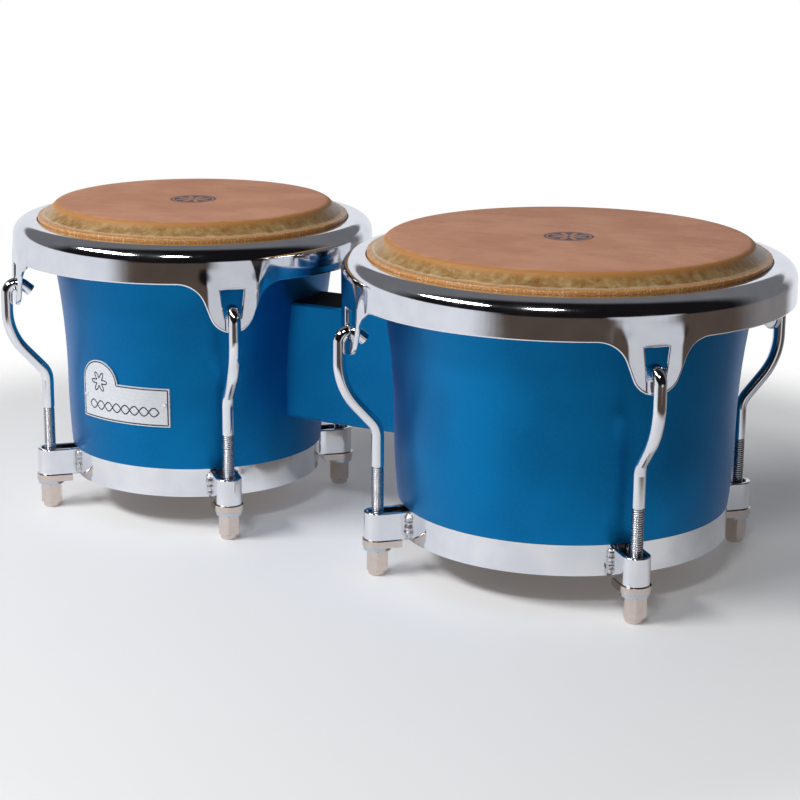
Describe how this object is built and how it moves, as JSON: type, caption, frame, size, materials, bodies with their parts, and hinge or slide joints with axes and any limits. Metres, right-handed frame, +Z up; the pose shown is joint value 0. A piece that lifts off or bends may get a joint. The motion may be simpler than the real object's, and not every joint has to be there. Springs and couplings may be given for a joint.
{
  "type": "bongo drums",
  "caption": "Pair of joined hand drums with tapered wooden shells, crowned rawhide heads, deep metal hoops with hooked tuning rods and a centre block.",
  "frame": {"origin": "under the middle of the bounding box, on the plane that the eight tuning nuts stand on", "axes": "+X from the small drum to the large drum, +Z up along the drums' axes, -Y towards the side with the name plate"},
  "size_m": [0.4772, 0.2488, 0.1843],
  "materials": {
    "blue_lacquer": "satin metallic blue lacquer over wood",
    "chrome": "polished chrome plate",
    "nickel": "warm bright nickel plate",
    "rawhide": "stretched rawhide, dry and lightly mottled",
    "plain_steel": "zinc-plated steel",
    "insert_brass": "turned brass",
    "plate_metal": "bright printed aluminium, left blank"
  },
  "bodies": {
    "root": {"small_shell": "blue_lacquer", "small_bottom_ring": "chrome", "small_ring_lugs": "chrome", "small_saddle_washers": "nickel", "small_round_washers": "nickel", "small_head_skin": "rawhide", "small_flesh_ring": "plain_steel", "small_block_bolts": "plain_steel", "small_block_washers": "plain_steel", "small_block_inserts": "insert_brass", "large_shell": "blue_lacquer", "large_bottom_ring": "chrome", "large_ring_lugs": "chrome", "large_saddle_washers": "nickel", "large_round_washers": "nickel", "large_head_skin": "rawhide", "large_flesh_ring": "plain_steel", "large_block_bolts": "plain_steel", "large_block_washers": "plain_steel", "large_block_inserts": "insert_brass", "centre_block": "blue_lacquer", "name_plate": "plate_metal", "plate_pins": "plate_metal"},
    "small_hoop_set": {"small_hoop": "chrome", "small_tuning_rod_1": "chrome", "small_tuning_rod_2": "chrome", "small_tuning_rod_3": "chrome", "small_tuning_rod_4": "chrome"},
    "large_hoop_set": {"large_hoop": "chrome", "large_tuning_rod_1": "chrome", "large_tuning_rod_2": "chrome", "large_tuning_rod_3": "chrome", "large_tuning_rod_4": "chrome"},
    "small_nut_1": {"small_tuning_nut_1": "nickel"},
    "small_nut_2": {"small_tuning_nut_2": "nickel"},
    "small_nut_3": {"small_tuning_nut_3": "nickel"},
    "small_nut_4": {"small_tuning_nut_4": "nickel"},
    "large_nut_1": {"large_tuning_nut_1": "nickel"},
    "large_nut_2": {"large_tuning_nut_2": "nickel"},
    "large_nut_3": {"large_tuning_nut_3": "nickel"},
    "large_nut_4": {"large_tuning_nut_4": "nickel"}
  },
  "joints": [
    {"name": "small_head_tuning", "type": "slide", "parent": "root", "child": "small_hoop_set", "axis": [0, 0, 1], "range_m": [0, 0.01]},
    {"name": "large_head_tuning", "type": "slide", "parent": "root", "child": "large_hoop_set", "axis": [0, 0, 1], "range_m": [0, 0.01]},
    {"name": "small_nut_1_turn", "type": "hinge", "parent": "root", "child": "small_nut_1", "pos_m": [-0.06736, 0.06399, 0.0074], "axis": [0, 0, 1], "range_deg": [-2881, 0]},
    {"name": "small_nut_2_turn", "type": "hinge", "parent": "root", "child": "small_nut_2", "pos_m": [-0.19534, 0.06399, 0.0074], "axis": [0, 0, 1], "range_deg": [-2881, 0]},
    {"name": "small_nut_3_turn", "type": "hinge", "parent": "root", "child": "small_nut_3", "pos_m": [-0.19534, -0.06399, 0.0074], "axis": [0, 0, 1], "range_deg": [-2881, 0]},
    {"name": "small_nut_4_turn", "type": "hinge", "parent": "root", "child": "small_nut_4", "pos_m": [-0.06736, -0.06399, 0.0074], "axis": [0, 0, 1], "range_deg": [-2881, 0]},
    {"name": "large_nut_1_turn", "type": "hinge", "parent": "root", "child": "large_nut_1", "pos_m": [0.19069, 0.07644, 0.0074], "axis": [0, 0, 1], "range_deg": [-2881, 0]},
    {"name": "large_nut_2_turn", "type": "hinge", "parent": "root", "child": "large_nut_2", "pos_m": [0.03781, 0.07644, 0.0074], "axis": [0, 0, 1], "range_deg": [-2881, 0]},
    {"name": "large_nut_3_turn", "type": "hinge", "parent": "root", "child": "large_nut_3", "pos_m": [0.03781, -0.07644, 0.0074], "axis": [0, 0, 1], "range_deg": [-2881, 0]},
    {"name": "large_nut_4_turn", "type": "hinge", "parent": "root", "child": "large_nut_4", "pos_m": [0.19069, -0.07644, 0.0074], "axis": [0, 0, 1], "range_deg": [-2881, 0]}
  ],
  "couplings": [
    {"joint": "small_nut_1_turn", "follows": "small_head_tuning", "rad_per_m": -5026.5},
    {"joint": "small_nut_2_turn", "follows": "small_head_tuning", "rad_per_m": -5026.5},
    {"joint": "small_nut_3_turn", "follows": "small_head_tuning", "rad_per_m": -5026.5},
    {"joint": "small_nut_4_turn", "follows": "small_head_tuning", "rad_per_m": -5026.5},
    {"joint": "large_nut_1_turn", "follows": "large_head_tuning", "rad_per_m": -5026.5},
    {"joint": "large_nut_2_turn", "follows": "large_head_tuning", "rad_per_m": -5026.5},
    {"joint": "large_nut_3_turn", "follows": "large_head_tuning", "rad_per_m": -5026.5},
    {"joint": "large_nut_4_turn", "follows": "large_head_tuning", "rad_per_m": -5026.5}
  ]
}
